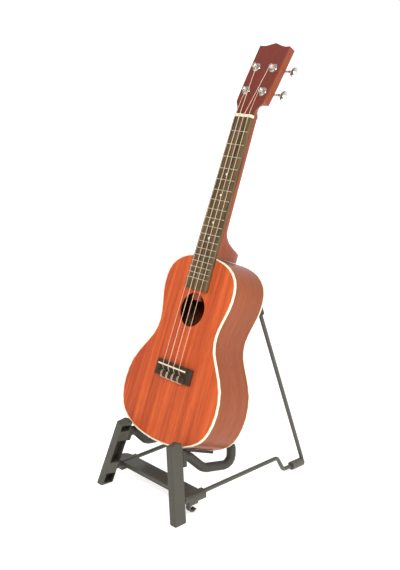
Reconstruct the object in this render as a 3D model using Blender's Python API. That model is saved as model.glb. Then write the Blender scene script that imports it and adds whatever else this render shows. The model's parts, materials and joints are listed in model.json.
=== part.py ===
"""Concert ukulele on a fold-flat stand: hollow body, neck and geared tuners on two hinged
legs with hooked arms, a crossbar, two floor wires and two swinging back uprights."""

import math

import bmesh
import bpy
from mathutils import Matrix, Vector

MM = 0.001
DATUM_Y = -111.39  # from the stand's own zero, the crossbar's front face, to the origin
GAP = 0.3

# Instrument, in its own frame: v across, w into its depth, u up the neck from the saddle.
SADDLE_FOOT = (0.0, 46.8, 194.0)
LEAN = math.radians(21.2)
SCALE_LENGTH = 381.0
BODY_DEPTH = 66.0
BODY_HALF = (
    (-112.5, 0.0), (-110.5, 30.0), (-104.0, 59.0), (-89.5, 85.0), (-70.0, 98.0), (-42.0, 103.0),
    (-10.0, 97.5), (18.0, 81.0), (40.0, 66.5), (62.0, 62.3), (84.0, 66.5), (106.0, 72.6),
    (128.0, 74.0), (148.0, 68.0), (163.0, 50.5), (170.3, 26.0), (172.0, 0.0),
)
SOUNDHOLE_U, SOUNDHOLE_R = 89.3, 25.4
TOP_THICK, SIDE_THICK, BACK_THICK = 2.2, 2.2, 2.2
TOP_BINDING, BACK_BINDING = (2.2, 3.4), (1.8, 2.4)
LINING_WIDE, LINING_DEEP = 4.5, 6.5
NUT_U, NUT_LONG, NUT_HALF = 382.0, 4.4, 17.8
BOARD_END_U, BOARD_END_HALF, BOARD_THICK = 119.5, 22.8, 5.5
NECK_DEEP, NECK_FOOT_U, HEEL_CAP_U, HEEL_U, HEEL_DEEP = 14.0, 172.4, 187.0, 216.0, 59.5
HEAD_TILT, HEAD_FACE_W, HEAD_FACE_U = math.radians(11.9), -5.0, 384.0
HEAD_THICK, VENEER = 13.0, 0.9
HEAD_HALF = (
    (4.3, 17.9), (9.0, 18.5), (12.5, 19.6), (15.5, 21.6), (18.5, 24.2), (21.5, 26.3), (24.5, 27.3),
    (38.0, 28.1), (60.0, 29.1),
)
THROAT = (  # up, half width, chamfer, depth of the back
    (4.3, 17.8, 1.8, 18.6), (9.0, 18.3, 3.0, 17.7), (12.5, 19.4, 4.4, 16.4), (16.0, 21.8, 6.5, 15.0),
    (20.0, 25.2, 9.0, 13.9), (23.0, 26.7, 8.0, 13.3), (29.0, 27.3, 0.3, 12.95),
)
HEAD_CORNER, HEAD_PEAK, HEAD_DIP = (118.0, 30.2), 122.6, 1.6
BRIDGE_U, BRIDGE_HALF, BRIDGE_CORE = (-18.5, 5.5), 38.5, 30.5
SADDLE_HALF, SADDLE_TOP = 29.0, 10.2

# Strings and tuners.
STRING_SADDLE, STRING_NUT = (-18.0, -6.0, 6.0, 18.0), (-13.5, -4.5, 4.5, 13.5)
STRING_R = (0.36, 0.52, 0.46, 0.34)
POST_V, POST_ROWS, POST_R, POST_HIGH = 17.0, (41.4, 80.7), 3.0, 8.5
WORM_OFFSET, WORM_BACK, GEAR_R, GEAR_TEETH = 5.6, 5.6, 3.4, 14
BUTTON_OUT, BUTTON_SIZE = 10.5, (6.0, 4.2, 8.4)

# Stand, y from the crossbar's front face towards the back.
BAR_X, BAR_DEEP, BAR_Z, BAR_LEFT_END = 80.0, 27.0, (24.0, 32.0), 98.0
CHEEK_X, CHEEK_Y = 84.0, (-1.5, 15.5, 31.5)
FOOT, LEG_TOP = Vector((86.5, -25.3, 0.0)), Vector((56.0, -5.8, 108.0))
LEG_WIDE, LEG_DEEP, LEG_WALL, LEG_ROUND, PIVOT_Z = 13.0, 21.2, 2.2, 1.8, 30.0
PIN_R, PIN_HOLE = 3.0, 3.15
ARM_R = 7.0
ARM_PATH = (
    (60.0, 7.0, 85.0), (61.0, 14.1, 85.4), (66.0, 41.6, 57.7), (70.0, 94.4, 48.2), (70.0, 94.4, 75.7),
)
TONGUE_V, TONGUE_WIDE, TONGUE_THICK, TONGUE_W = 54.0, 9.0, 4.0, (7.0, 64.5)
WIRE_X, WIRE_R = 77.5, 3.3
WIRE_PATH = ((14.0, 28.0), (187.0, 31.0), (201.5, 6.6), (229.5, 6.6))
SLEEVE_Y, SLEEVE_R = (220.0, 245.2), 6.6
UPRIGHT_X_SLOPE, UPRIGHT_Y0, UPRIGHT_Y_SLOPE, UPRIGHT_TOP = -0.0627, 249.4, -0.331, 280.0
PAD_R, PAD_Z = 6.3, (267.0, 282.2)

MATERIALS = {
    "mahogany_top": (0.62, 0.20, 0.07), "mahogany_side": (0.38, 0.13, 0.05),
    "mahogany_neck": (0.36, 0.12, 0.05), "rosewood": (0.10, 0.05, 0.035),
    "veneer": (0.22, 0.055, 0.03), "spruce_block": (0.55, 0.36, 0.18),
    "cream_binding": (0.86, 0.78, 0.60), "bone": (0.86, 0.81, 0.68),
    "nylon": (0.82, 0.74, 0.64), "chrome": (0.75, 0.75, 0.76),
    "moulded_black": (0.09, 0.085, 0.065), "rubber_black": (0.05, 0.047, 0.04),
    "wire_black": (0.10, 0.095, 0.085), "steel_pin": (0.5, 0.5, 0.5),
}


def clear_scene():
    for obj in list(bpy.data.objects):
        bpy.data.objects.remove(obj, do_unlink=True)


def material(name):
    found = bpy.data.materials.get(name)
    if found:
        return found
    made = bpy.data.materials.new(name)
    made.use_nodes = True
    shader = made.node_tree.nodes["Principled BSDF"]
    shader.inputs["Base Color"].default_value = (*MATERIALS[name], 1.0)
    shader.inputs["Metallic"].default_value = 1.0 if name in ("chrome", "steel_pin") else 0.0
    shader.inputs["Roughness"].default_value = 0.2 if name in ("chrome", "steel_pin") else 0.45
    return made


STAND = Matrix.Translation((0.0, DATUM_Y, 0.0))
INSTRUMENT = (
    STAND @ Matrix.Translation(SADDLE_FOOT) @ Matrix.Rotation(-LEAN, 4, "X")
)
HEAD = (
    INSTRUMENT
    @ Matrix.Translation((0.0, HEAD_FACE_W, HEAD_FACE_U))
    @ Matrix.Rotation(-HEAD_TILT, 4, "X")
)


def finish(name, bm, look, frame=STAND, origin=(0.0, 0.0, 0.0), mirror=False):
    """Turns millimetres in a local frame into one named object, its origin given in that frame."""
    bm.transform(frame)
    place = frame @ Vector(origin)
    if mirror:
        bm.transform(Matrix.Scale(-1.0, 4, (1.0, 0.0, 0.0)))
        bmesh.ops.reverse_faces(bm, faces=bm.faces)
        place.x = -place.x
    bm.transform(Matrix.Scale(MM, 4) @ Matrix.Translation(-place))
    mesh = bpy.data.meshes.new(name)
    bm.to_mesh(mesh)
    bm.free()
    obj = bpy.data.objects.new(name, mesh)
    obj.location = place * MM
    obj.data.materials.append(material(look))
    bpy.context.scene.collection.objects.link(obj)
    return obj


def loft(rings):
    """A closed solid through rings of equal count, with a cap on the first and the last."""
    bm = bmesh.new()
    made = [[bm.verts.new(p) for p in ring] for ring in rings]
    for low, high in zip(made, made[1:]):
        for i in range(len(low)):
            j = (i + 1) % len(low)
            bm.faces.new((low[i], low[j], high[j], high[i]))
    bm.faces.new(reversed(made[0]))
    bm.faces.new(made[-1])
    bmesh.ops.recalc_face_normals(bm, faces=bm.faces)
    return bm


def prism(outline, low, high, axis):
    """An outline pulled along X, Y or Z; the outline's two numbers are the other two axes."""
    def point(a, b, h):
        return {"X": (h, a, b), "Y": (a, h, b), "Z": (a, b, h)}[axis]
    return loft([[point(a, b, h) for a, b in outline] for h in (low, high)])


def box(low, high):
    outline = ((low[0], low[1]), (high[0], low[1]), (high[0], high[1]), (low[0], high[1]))
    return prism(outline, low[2], high[2], "Z")


def circle(radius, count, centre=(0.0, 0.0), start=0.0):
    return [
        (centre[0] + radius * math.cos(start + math.tau * i / count),
         centre[1] + radius * math.sin(start + math.tau * i / count))
        for i in range(count)
    ]


def ring_wall(outer, inner, low, high):
    """A closed band between two loops in the v-u plane, from depth low to depth high."""
    bm = bmesh.new()
    loops = [
        [bm.verts.new((v, w, u)) for u, v in loop]
        for loop, w in ((outer, low), (outer, high), (inner, high), (inner, low))
    ]
    for one, two in zip(loops, loops[1:] + loops[:1]):
        for i in range(len(one)):
            j = (i + 1) % len(one)
            bm.faces.new((one[i], one[j], two[j], two[i]))
    bmesh.ops.recalc_face_normals(bm, faces=bm.faces)
    return bm


def combine(base, other, operation):
    """Joins or cuts two closed meshes in millimetres and gives back the result."""
    objects = []
    for bm in (base, other):
        mesh = bpy.data.meshes.new("shape")
        bm.to_mesh(mesh)
        bm.free()
        obj = bpy.data.objects.new("shape", mesh)
        bpy.context.scene.collection.objects.link(obj)
        objects.append(obj)
    modifier = objects[0].modifiers.new("Boolean", "BOOLEAN")
    modifier.operation, modifier.solver, modifier.object = operation, "EXACT", objects[1]
    graph = bpy.context.evaluated_depsgraph_get()
    graph.update()
    result = bmesh.new()
    result.from_mesh(objects[0].evaluated_get(graph).to_mesh())
    for obj in objects:
        mesh = obj.data
        bpy.data.objects.remove(obj)
        bpy.data.meshes.remove(mesh)
    bmesh.ops.remove_doubles(result, verts=result.verts, dist=0.0005)
    return result


def cut(base, *others):
    for other in others:
        base = combine(base, other, "DIFFERENCE")
    return base


def union(base, *others):
    for other in others:
        base = combine(base, other, "UNION")
    return base


def moved(bm, matrix):
    bm.transform(matrix)
    if matrix.determinant() < 0:
        bmesh.ops.reverse_faces(bm, faces=bm.faces)
    return bm


def rounded_path(points, radii, steps=5):
    """A polyline with each inner corner turned into an arc of the given radius."""
    points = [Vector(p) for p in points]
    path = [points[0]]
    for before, corner, after, radius in zip(points, points[1:], points[2:], radii):
        into, out = (before - corner).normalized(), (after - corner).normalized()
        half = into.angle(out) / 2
        reach = radius / math.tan(half)
        centre = corner + (into + out).normalized() * (radius / math.sin(half))
        first, last = corner + into * reach - centre, corner + out * reach - centre
        turn = first.angle(last)
        for i in range(steps + 1):
            t = i / steps
            arm = (first * math.sin((1 - t) * turn) + last * math.sin(t * turn)) / math.sin(turn)
            path.append(centre + arm)
    return path + [points[-1]]


def tube(path, radii, sides):
    """A round bar along a path, its rings turned as little as possible from one to the next."""
    path = [Vector(p) for p in path]
    count = len(path)
    directions = [
        (path[min(i + 1, count - 1)] - path[max(i - 1, 0)]).normalized() for i in range(count)
    ]
    side = directions[0].orthogonal().normalized()
    rings = []
    for point, direction, radius in zip(path, directions, radii):
        side = (side - direction * side.dot(direction)).normalized()
        other = direction.cross(side)
        rings.append([point + side * a + other * b for a, b in circle(radius, sides)])
    return loft(rings)


def bar(path, radius, sides):
    return tube(path, [radius] * len(path), sides)


def domed(start, end, radius, sides, dome):
    """A straight round bar whose far end is rounded over the length dome."""
    start, end = Vector(start), Vector(end)
    along = (end - start).normalized()
    path, radii = [start], [radius]
    for i in range(5):
        angle = math.radians(80) * i / 4
        path.append(end + along * (dome * (math.sin(angle) - 1)))
        radii.append(radius - dome + dome * math.cos(angle))
    return tube(path, radii, sides)


def closed_curve(points, steps):
    """A closed Catmull-Rom curve through the points."""
    count, curve = len(points), []
    points = [Vector(p) for p in points]
    for i in range(count):
        a, b, c, d = (points[(i + k) % count] for k in (-1, 0, 1, 2))
        for j in range(steps):
            t = j / steps
            curve.append(
                0.5 * (2 * b + (c - a) * t + (2 * a - 5 * b + 4 * c - d) * t * t
                       + (3 * b - a - 3 * c + d) * t ** 3)
            )
    return curve


def body_loop(inset=0.0):
    """The body's outline as (u, v) points, pulled inwards by inset."""
    mirrored = [(u, -v) for u, v in reversed(BODY_HALF[1:-1])]
    curve = closed_curve([*BODY_HALF, *mirrored], 2)
    loop = []
    for i, point in enumerate(curve):
        along = (curve[(i + 1) % len(curve)] - curve[i - 1]).normalized()
        loop.append((point.x + along.y * inset, point.y - along.x * inset))
    return loop


def outline_at(v):
    """Where the body's lower edge passes the distance v, and its slope there."""
    curve = [p for p in body_loop() if p[0] < -60 and p[1] > 0]
    curve.sort(key=lambda p: p[1])
    for (u0, v0), (u1, v1) in zip(curve, curve[1:]):
        if v0 <= v <= v1:
            slope = (u1 - u0) / (v1 - v0)
            return u0 + slope * (v - v0), slope
    raise ValueError("v is outside the lower bout")


def board_half(u):
    t = (NUT_U - u) / (NUT_U - BOARD_END_U)
    return NUT_HALF + (BOARD_END_HALF - NUT_HALF) * t


def plate(loop, low, high):
    return prism([(v, u) for u, v in loop], low, high, "Y")


def build_body():
    hole = prism(circle(SOUNDHOLE_R, 40, (0.0, SOUNDHOLE_U)), -5.0, 10.0, "Y")
    top = cut(plate(body_loop(TOP_BINDING[0] + GAP), 0.0, TOP_THICK), hole)
    finish("soundboard", top, "mahogany_top", INSTRUMENT)
    side_low, side_high = TOP_BINDING[1] + GAP, BODY_DEPTH - BACK_BINDING[1] - GAP
    outer = body_loop()
    finish("sides", ring_wall(outer, body_loop(SIDE_THICK), side_low, side_high),
           "mahogany_side", INSTRUMENT)
    finish("top_binding", ring_wall(outer, body_loop(TOP_BINDING[0]), 0.0, TOP_BINDING[1]),
           "cream_binding", INSTRUMENT)
    finish("back_binding",
           ring_wall(outer, body_loop(BACK_BINDING[0]), BODY_DEPTH - BACK_BINDING[1], BODY_DEPTH),
           "cream_binding", INSTRUMENT)
    back = plate(body_loop(BACK_BINDING[0] + GAP), BODY_DEPTH - BACK_THICK, BODY_DEPTH)
    finish("back", back, "mahogany_side", INSTRUMENT)
    near, far = body_loop(SIDE_THICK + GAP), body_loop(SIDE_THICK + GAP + LINING_WIDE)
    top_low, back_high = TOP_THICK + GAP, BODY_DEPTH - BACK_THICK - GAP
    finish("top_lining", ring_wall(near, far, top_low, top_low + LINING_DEEP),
           "spruce_block", INSTRUMENT)
    finish("back_lining", ring_wall(near, far, back_high - LINING_DEEP, back_high),
           "spruce_block", INSTRUMENT)
    low, high = top_low + LINING_DEEP + GAP, back_high - LINING_DEEP - GAP
    shelf = union(box((-9.0, top_low, 104.0), (9.0, 7.0, 156.0)),
                  box((-9.0, 6.0, 148.0), (9.0, low + 1, 156.0)))
    block = union(box((-22.0, low, 148.0), (22.0, high, 168.2)), shelf)
    finish("neck_block", block, "spruce_block", INSTRUMENT)
    tail = box((-20.0, low, -108.6), (20.0, high, -97.0))
    finish("tail_block", tail, "spruce_block", INSTRUMENT)


def head_outline():
    """The headstock's face in its own frame, (across, up): flared sides and a soft central point."""
    half = HEAD_CORNER[1]
    side = [(across, up) for up, across in HEAD_HALF] + [(half, HEAD_CORNER[0])]
    crown = []
    for i in range(1, 8):
        t = i / 8
        rise = (HEAD_PEAK - HEAD_CORNER[0]) * (0.5 - 0.5 * math.cos(math.pi * t)) ** 1.3
        crown.append((half * (1 - t), HEAD_CORNER[0] + rise - HEAD_DIP * math.sin(math.pi * t)))
    right = side + crown
    return right + [(0.0, HEAD_PEAK)] + [(-a, b) for a, b in reversed(right)]


def post_holes(radius):
    return [
        prism(circle(radius, 20, (side * POST_V, row)), -3.0, 30.0, "Y")
        for side in (-1, 1) for row in POST_ROWS
    ]


def throat():
    """The neck's swelling behind the nut: round below, square where it meets the headstock's slab."""
    rings = []
    for up, half, chamfer, back in THROAT:
        low = max(0.0, 1.0 - (up - THROAT[0][0]) / 12.0)
        edge = half - 1.8 * chamfer
        side = [(half, VENEER + GAP), (half - 0.35 * chamfer, 3.5 + 2.5 * low),
                (half - chamfer, 8.5 + 2.5 * low), (edge, 12.6 + 2.9 * low), (0.42 * edge, back)]
        outline = side + [(-across, w) for across, w in reversed(side)]
        rings.append([(across, w, up) for across, w in outline])
    return loft(rings)


def build_neck():
    rings, stations = [], (172.4, 180.0, 186.0, 189.0, 193.0, 198.0, 204.0, 210.0, HEEL_U, 300.0, 389.0)
    for u in stations:
        rise = min(1.0, max(0.0, (HEEL_U - u) / (HEEL_U - HEEL_CAP_U)))
        deep = NECK_DEEP + 1.5 * (NUT_U - max(u, HEEL_CAP_U)) / 210.0
        deep += (HEEL_DEEP - deep) * rise ** 2.1
        half = board_half(min(u, NUT_U)) - 0.1
        turn = [math.pi * i / 14 for i in range(15)]
        curve = [(half * math.cos(a), 2.4 + (deep - 2.4) * math.sin(a) ** 0.85) for a in turn]
        ring = [(half, 0.0)] + curve + [(-half, 0.0)]
        rings.append([(v, w, u) for v, w in ring])
    shaft = loft(rings)
    into = INSTRUMENT.inverted() @ HEAD
    outline = [(across, max(up, 25.5)) for across, up in head_outline() if up > 24.0]
    slab = prism(outline, VENEER + GAP, HEAD_THICK, "Y")
    head = moved(union(slab, throat()), into)
    holes = [moved(hole, into) for hole in post_holes(POST_R + GAP)]
    finish("neck", cut(union(head, shaft), *holes), "mahogany_neck", INSTRUMENT)
    veneer = cut(prism(head_outline(), 0.0, VENEER, "Y"), *post_holes(POST_R + GAP))
    finish("headstock_veneer", veneer, "veneer", HEAD)


def build_board():
    low, high = BOARD_END_HALF, NUT_HALF
    board = prism(((-low, BOARD_END_U), (low, BOARD_END_U), (high, NUT_U), (-high, NUT_U)),
                  -GAP - BOARD_THICK, -GAP, "Y")
    finish("fretboard", board, "rosewood", INSTRUMENT)
    u0 = NUT_U + GAP
    nut = prism(((-GAP, u0), (-7.4, u0), (-8.2, u0 + 1.2), (-7.6, u0 + NUT_LONG), (-GAP, u0 + NUT_LONG)),
                -NUT_HALF, NUT_HALF, "X")
    finish("nut", nut, "bone", INSTRUMENT)


def build_bridge():
    u0, u1 = BRIDGE_U
    wing = loft([
        [(v, w, u) for u, w in ((u0, -GAP), (u1, -GAP), (u1 - 0.8, -h), (u0 + 0.8, -h))]
        for v, h in ((-BRIDGE_HALF, 3.2), (-BRIDGE_CORE - 2, 4.4),
                     (BRIDGE_CORE + 2, 4.4), (BRIDGE_HALF, 3.2))
    ])
    profile = ((u0 + 0.6, -1.0), (u0 + 0.6, -6.4), (u0 + 2.4, -8.0), (-10.6, -8.0), (-9.4, -6.6),
               (-9.0, -4.6), (-4.6, -4.6), (-3.6, -7.4), (3.4, -7.4), (u1 - 0.6, -6.0), (u1 - 0.6, -1.0))
    core = prism([(w, u) for u, w in profile], -BRIDGE_CORE, BRIDGE_CORE, "X")
    slot = box((-SADDLE_HALF - GAP, -9.0, -1.5), (SADDLE_HALF + GAP, -3.4, 1.5))
    finish("bridge", cut(union(wing, core), slot), "rosewood", INSTRUMENT)
    crest = ((-3.7, -1.2), (-9.2, -1.2), (-SADDLE_TOP, -0.4), (-SADDLE_TOP, 0.4), (-9.2, 1.2), (-3.7, 1.2))
    finish("saddle", prism(crest, -SADDLE_HALF, SADDLE_HALF, "X"), "bone", INSTRUMENT)


def build_string(index):
    """One string, from its tie behind the bridge over saddle and nut to the side of its post."""
    radius, side = STRING_R[index], -1 if index < 2 else 1
    row = POST_ROWS[0] if index in (0, 3) else POST_ROWS[1]
    seat, rest = STRING_SADDLE[index], STRING_NUT[index]
    lift = radius + 0.15
    to_body = INSTRUMENT.inverted() @ HEAD
    end = to_body @ Vector((side * (POST_V - POST_R - radius - GAP), -5.2, row))
    points = [
        (seat, -1.6, BRIDGE_U[0] - 0.9), (seat, -6.6 - lift, BRIDGE_U[0] - lift),
        (seat, -8.0 - lift, BRIDGE_U[0] + 2.2), (seat, -8.0 - lift, -10.2),
        (seat, -SADDLE_TOP - lift, 0.0), (rest, -8.2 - lift, NUT_U + 1.5), end,
    ]
    curve = bpy.data.curves.new(f"string_{index + 1}", "CURVE")
    curve.dimensions, curve.bevel_depth, curve.bevel_resolution = "3D", radius * MM, 2
    curve.use_fill_caps = True
    line = curve.splines.new("POLY")
    line.points.add(len(points) - 1)
    for target, point in zip(line.points, points):
        target.co = (*(INSTRUMENT @ Vector(point) * MM), 1.0)
    obj = bpy.data.objects.new(curve.name, curve)
    curve.materials.append(material("nylon"))
    bpy.context.scene.collection.objects.link(obj)


def gear_outline(centre):
    points = []
    for i in range(GEAR_TEETH):
        for part, radius in ((-0.25, GEAR_R - 0.6), (0.25, GEAR_R)):
            angle = math.tau * (i + part) / GEAR_TEETH
            points.append((centre[0] + radius * math.cos(angle), centre[1] + radius * math.sin(angle)))
    return points


def build_tuner(index, side, row):
    """One geared tuner: plate and bushing stay still, the button's worm turns gear and post."""
    centre = (side * POST_V, row)
    back = HEAD_THICK + GAP
    ear_in, ear_out = side * (POST_V - 6.5), side * (POST_V + 6.5)
    low, high = row - 7.0, row + WORM_OFFSET + 4.0
    base = box((min(ear_in, ear_out) - 1.2, back, low), (max(ear_in, ear_out) + 1.2, back + 1.2, high))
    worm_w, worm_u = back + WORM_BACK, row + WORM_OFFSET
    ears = [
        box((x - 0.7, back + 0.6, worm_u - 2.8), (x + 0.7, worm_w + 2.8, worm_u + 2.8))
        for x in (ear_in, ear_out)
    ]
    bore = bar(((ear_in - side * 9, worm_w, worm_u), (ear_out + side * 9, worm_w, worm_u)), 1.5, 16)
    hole = prism(circle(POST_R + GAP, 20, centre), back - 2, back + 3, "Y")
    finish(f"tuner_plate_{index}", cut(union(base, *ears), bore, hole), "chrome", HEAD)
    bushing = cut(prism(circle(5.6, 6, centre, 0.3), -GAP - 1.9, -GAP, "Y"),
                  prism(circle(POST_R + GAP, 20, centre), -4.0, 2.0, "Y"))
    finish(f"tuner_bushing_{index}", bushing, "chrome", HEAD)
    post = [(-POST_HIGH, 2.3), (-POST_HIGH + 0.6, POST_R), (-6.4, POST_R), (-5.2, 2.3), (-4.0, POST_R),
            (back + 1.6, POST_R)]
    stem = tube([(centre[0], w, centre[1]) for w, r in post], [r for w, r in post], 16)
    gear = prism(gear_outline(centre), back + 1.5, back + 6.0, "Y")
    eye = bar(((centre[0] - 5, -5.2, centre[1]), (centre[0] + 5, -5.2, centre[1])), 0.7, 6)
    finish(f"tuner_post_{index}", cut(union(stem, gear), eye), "chrome", HEAD,
           (centre[0], 0.0, centre[1]))
    start = ear_in - side * 1.6
    edge = side * (HEAD_CORNER[1] + 5.0)
    shaft = [(start, 1.25), (ear_in + side * 1.2, 1.25), (ear_in + side * 1.4, 1.8),
             (ear_out - side * 1.4, 1.8), (ear_out - side * 1.2, 1.25), (ear_out + side * 1.2, 1.25),
             (ear_out + side * 1.4, 1.7), (edge, 1.7), (edge + side * 2.0, 2.4), (edge + side * 6.5, 2.4)]
    worm = tube([(x, worm_w, worm_u) for x, r in shaft], [r for x, r in shaft], 10)
    middle = side * (HEAD_CORNER[1] + BUTTON_OUT)
    rings = []
    for i in range(6):
        angle = math.radians(-75 + 150 * i / 5)
        rings.append([
            (middle + BUTTON_SIZE[0] * math.sin(angle), worm_w + a * BUTTON_SIZE[1] * math.cos(angle),
             worm_u + b * BUTTON_SIZE[2] * math.cos(angle)) for a, b in circle(1.0, 14)
        ])
    finish(f"tuner_button_{index}", union(worm, loft(rings)), "chrome", HEAD,
           (middle, worm_w, worm_u))


ALONG = (LEG_TOP - FOOT).normalized()
INTO = Vector((0.0, math.cos(math.atan2(ALONG.y, ALONG.z)), -math.sin(math.atan2(ALONG.y, ALONG.z))))
PIVOT = FOOT + (LEG_TOP - FOOT) * (PIVOT_Z / LEG_TOP.z)
LEG_FRAME = Matrix.Translation(PIVOT) @ Matrix([
    [INTO.cross(ALONG)[i], INTO[i], ALONG[i], 0.0] for i in range(3)] + [[0.0, 0.0, 0.0, 1.0]])


def build_leg(name, mirror):
    """A moulded channel, open on its inner side, its foot cut level with the floor."""
    half, deep = LEG_WIDE / 2, LEG_DEEP / 2
    length, foot = 83.6, -PIVOT_Z / ALONG.z - 6.0
    side_view = [(-deep, foot), (deep, foot), (deep, length - 4.5), (deep - 1.6, length - 1.6),
                 (3.0, length), (-4.5, length - 3.0), (-deep + 1.0, length - 4.8), (-deep, length - 6.6)]
    leg = prism(side_view, -half, half, "X")
    along = [e for e in leg.edges if abs(e.verts[0].co.x - e.verts[1].co.x) < 1e-6]
    bmesh.ops.bevel(leg, geom=along, offset=LEG_ROUND, segments=3, profile=0.5, affect="EDGES")
    for low, high in ((-27.0, -10.0), (10.0, 49.0), (66.0, 76.0)):
        leg = cut(leg, box((-half - 2, -deep + LEG_WALL, low), (half - LEG_WALL, deep - LEG_WALL, high)))
    leg = moved(cut(leg, bar(((0, -7, 0), (0, deep + 3, 0)), PIN_HOLE, 24)), LEG_FRAME)
    leg = cut(leg, box((40, -80, -20), (130, 40, 0)))
    sole = [e for e in leg.edges if max(v.co.z for v in e.verts) < 1e-4]
    bmesh.ops.bevel(leg, geom=sole, offset=1.2, segments=2, profile=0.5, affect="EDGES")
    finish(name, leg, "moulded_black", STAND, PIVOT, mirror)


def tongue_solid(grow):
    """The rest under the body's edge, as a bar in the instrument's frame."""
    u, slope = outline_at(TONGUE_V)
    tilt = Matrix.Translation((TONGUE_V, 0.0, u)) @ Matrix.Rotation(-math.atan(slope), 4, "Y")
    low = (-TONGUE_WIDE / 2 - grow, TONGUE_W[0] - grow, -GAP - TONGUE_THICK - grow)
    high = (TONGUE_WIDE / 2 + grow, TONGUE_W[1] + grow, -GAP + grow)
    return moved(box(low, high), tilt)


def build_arm(side_name, mirror):
    """A hooked arm under the body, on a flange behind the leg, with its rest tongue."""
    path = rounded_path(ARM_PATH, (14.0, 24.0, 13.0), 4)
    tip = path[-1]
    radii = [ARM_R] * len(path)
    for angle in (40, 72):
        path.append(tip + Vector((0, 0, ARM_R * math.sin(math.radians(angle)))))
        radii.append(ARM_R * math.cos(math.radians(angle)))
    hook = tube(path, radii, 14)
    half, back = LEG_WIDE / 2 - 0.3, LEG_DEEP / 2
    flange = box((-half, back + GAP, 47.0), (half, back + 7.5, 69.0))
    bmesh.ops.bevel(flange, geom=flange.edges[:], offset=1.0, segments=1, affect="EDGES")
    arm = union(hook, moved(flange, LEG_FRAME))
    to_stand = STAND.inverted() @ INSTRUMENT
    arm = cut(arm, moved(tongue_solid(GAP), to_stand))
    finish(f"arm_{side_name}", arm, "rubber_black", STAND, PIVOT, mirror)
    finish(f"rest_{side_name}", moved(tongue_solid(0.0), to_stand), "rubber_black", STAND, PIVOT, mirror)


def cheek(side):
    """An end cheek: a rounded rail round the wire and a stepped web, with a hook under the right one."""
    x_in, x_out = side * (WIRE_X - 4.5), side * CHEEK_X
    mid, radius = side * (CHEEK_X - 5.0), 5.0
    top = [(mid + side * radius * math.sin(math.radians(a)), 27.9 + radius * math.cos(math.radians(a)))
           for a in range(0, 91, 15)]
    front = prism([(x_in, 32.9)] + top + [(x_out, 17.5), (x_in, 17.5)], CHEEK_Y[0], CHEEK_Y[1], "Y")
    rear = prism([(x_in, 32.9)] + top + [(x_out, 20.8), (x_in, 20.8)], CHEEK_Y[1] - 2, CHEEK_Y[2], "Y")
    if side < 0:
        return union(front, rear)
    arc = [math.radians(a) for a in range(60, 331, 18)]
    hook = [(6.5 + 7.6 * math.cos(a), 13.0 + 7.2 * math.sin(a)) for a in arc]
    hook += [(6.5 + 5.1 * math.cos(a), 13.0 + 4.5 * math.sin(a)) for a in reversed(arc)]
    return union(front, rear, prism(hook, CHEEK_X - 8.5, CHEEK_X - 0.8, "X"))


def build_crossbar():
    """The moulded bar: hollow from below, left end longer, with cheeks and leg bosses."""
    x, (z0, z1), deep = BAR_X, BAR_Z, BAR_DEEP
    turn = [math.radians(a) for a in range(0, 91, 18)]
    corner = [(-BAR_LEFT_END + 14 - 14 * math.sin(a), deep - 14 + 14 * math.cos(a)) for a in turn]
    plan = [(-BAR_LEFT_END, 0.0), (x, 0.0), (x, deep)] + corner
    bar_solid = prism(plan, z0, z1, "Z")
    level = [e for e in bar_solid.edges if abs(e.verts[0].co.z - e.verts[1].co.z) < 1e-6]
    bmesh.ops.bevel(bar_solid, geom=level, offset=1.0, segments=2, profile=0.5, affect="EDGES")
    (y0, start_z), (y1, end_z) = WIRE_PATH[:2]
    rise = (end_z - start_z) / (y1 - y0)
    for low, high in ((-66.0, -24.0), (-21.5, 21.5), (24.0, 66.0)):
        bar_solid = cut(bar_solid, box((low, 2.4, z0 - 3), (high, deep - 2.4, z1 - 2.6)))
    for side in (-1, 1):
        frame = LEG_FRAME if side > 0 else Matrix.Scale(-1, 4, (1, 0, 0)) @ LEG_FRAME
        boss = bar(((0, LEG_DEEP / 2 + 0.4, 0), (0, 30.0, 0)), 6.5, 24)
        bore = bar(((0, LEG_DEEP / 2 - 3, 0), (0, 28.6, 0)), PIN_HOLE, 24)
        bar_solid = union(bar_solid, cheek(side), moved(boss, frame))
        wire = bar([(side * WIRE_X, y, start_z + rise * (y - y0)) for y in (13.5, 50.0)], WIRE_R + GAP, 20)
        bar_solid = cut(bar_solid, moved(bore, frame), wire)
    finish("crossbar", bar_solid, "moulded_black")


def upright_point(z):
    return Vector((WIRE_X + UPRIGHT_X_SLOPE * (z - SLEEVE_R), UPRIGHT_Y0 + UPRIGHT_Y_SLOPE * z, z))


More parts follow.
